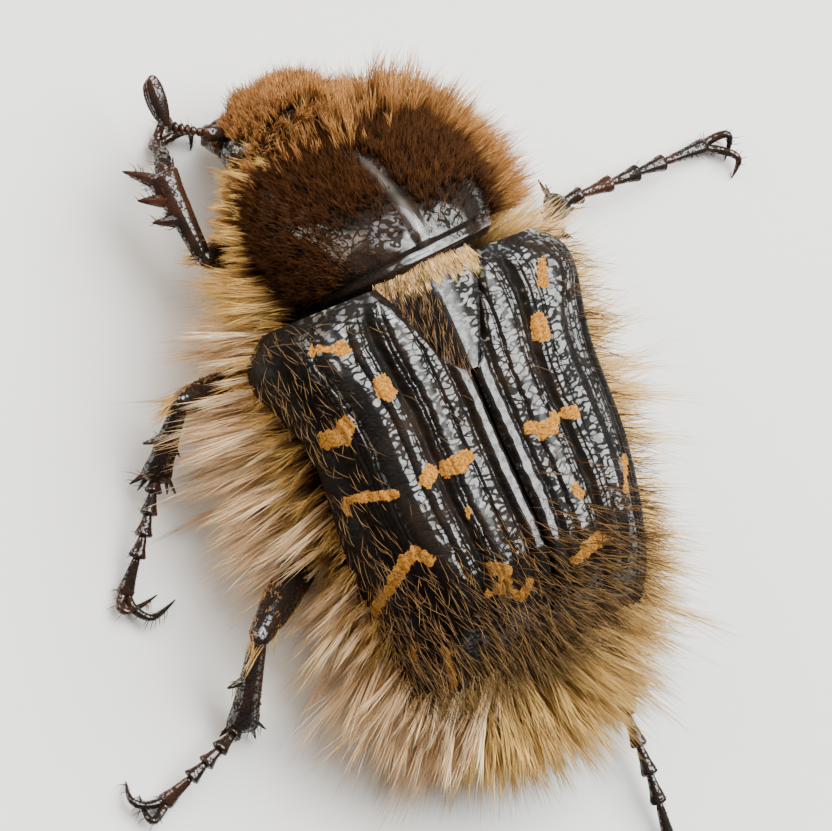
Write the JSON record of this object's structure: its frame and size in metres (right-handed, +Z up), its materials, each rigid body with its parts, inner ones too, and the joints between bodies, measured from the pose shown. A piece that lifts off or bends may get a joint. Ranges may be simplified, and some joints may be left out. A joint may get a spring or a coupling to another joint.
{
  "type": "mediterranean hairy chafer beetle",
  "caption": "Still, life-size hairy chafer: ridged wing cases over a body fringed with long pale hair, with its feelers and jointed legs spread as it walks.",
  "frame": {"origin": "centre of the small flat of the breastbone, on the floor that the beetle rests on", "axes": "+Y towards the head, +X to the beetle's right, +Z up"},
  "size_m": [0.0144, 0.0156, 0.0051],
  "materials": {
    "black_shell": "glossy black wing case, wrinkled and pitted",
    "brown_coat": "dense brown hair over black shell",
    "tan_coat": "long cream to golden hair",
    "leg_black": "glossy black-brown limb",
    "eye_black": "polished black eye"
  },
  "bodies": {
    "root": {"elytron_left": "black_shell", "elytron_right": "black_shell", "scutellum": "black_shell", "coxa_front_left": "leg_black", "coxa_front_right": "leg_black", "coxa_middle_left": "leg_black", "coxa_middle_right": "leg_black", "coxa_hind_left": "leg_black", "coxa_hind_right": "leg_black", "femur_front_left": "leg_black", "femur_front_right": "leg_black", "femur_middle_left": "leg_black", "femur_middle_right": "leg_black", "femur_hind_left": "leg_black", "femur_hind_right": "leg_black", "tibia_front_left": "leg_black", "tibia_front_right": "leg_black", "tibia_middle_left": "leg_black", "tibia_middle_right": "leg_black", "tibia_hind_left": "leg_black", "tibia_hind_right": "leg_black", "tarsus_front_left": "leg_black", "tarsus_front_right": "leg_black", "tarsus_middle_left": "leg_black", "tarsus_middle_right": "leg_black", "tarsus_hind_left": "leg_black", "tarsus_hind_right": "leg_black", "eye_left": "eye_black", "antenna_stalk_left": "leg_black", "antenna_club_left": "leg_black", "palp_left": "leg_black", "eye_right": "eye_black", "antenna_stalk_right": "leg_black", "antenna_club_right": "leg_black", "palp_right": "leg_black", "head": "brown_coat", "prothorax": "brown_coat", "thorax": "tan_coat", "abdomen": "tan_coat", "pygidium": "tan_coat"}
  },
  "joints": []
}
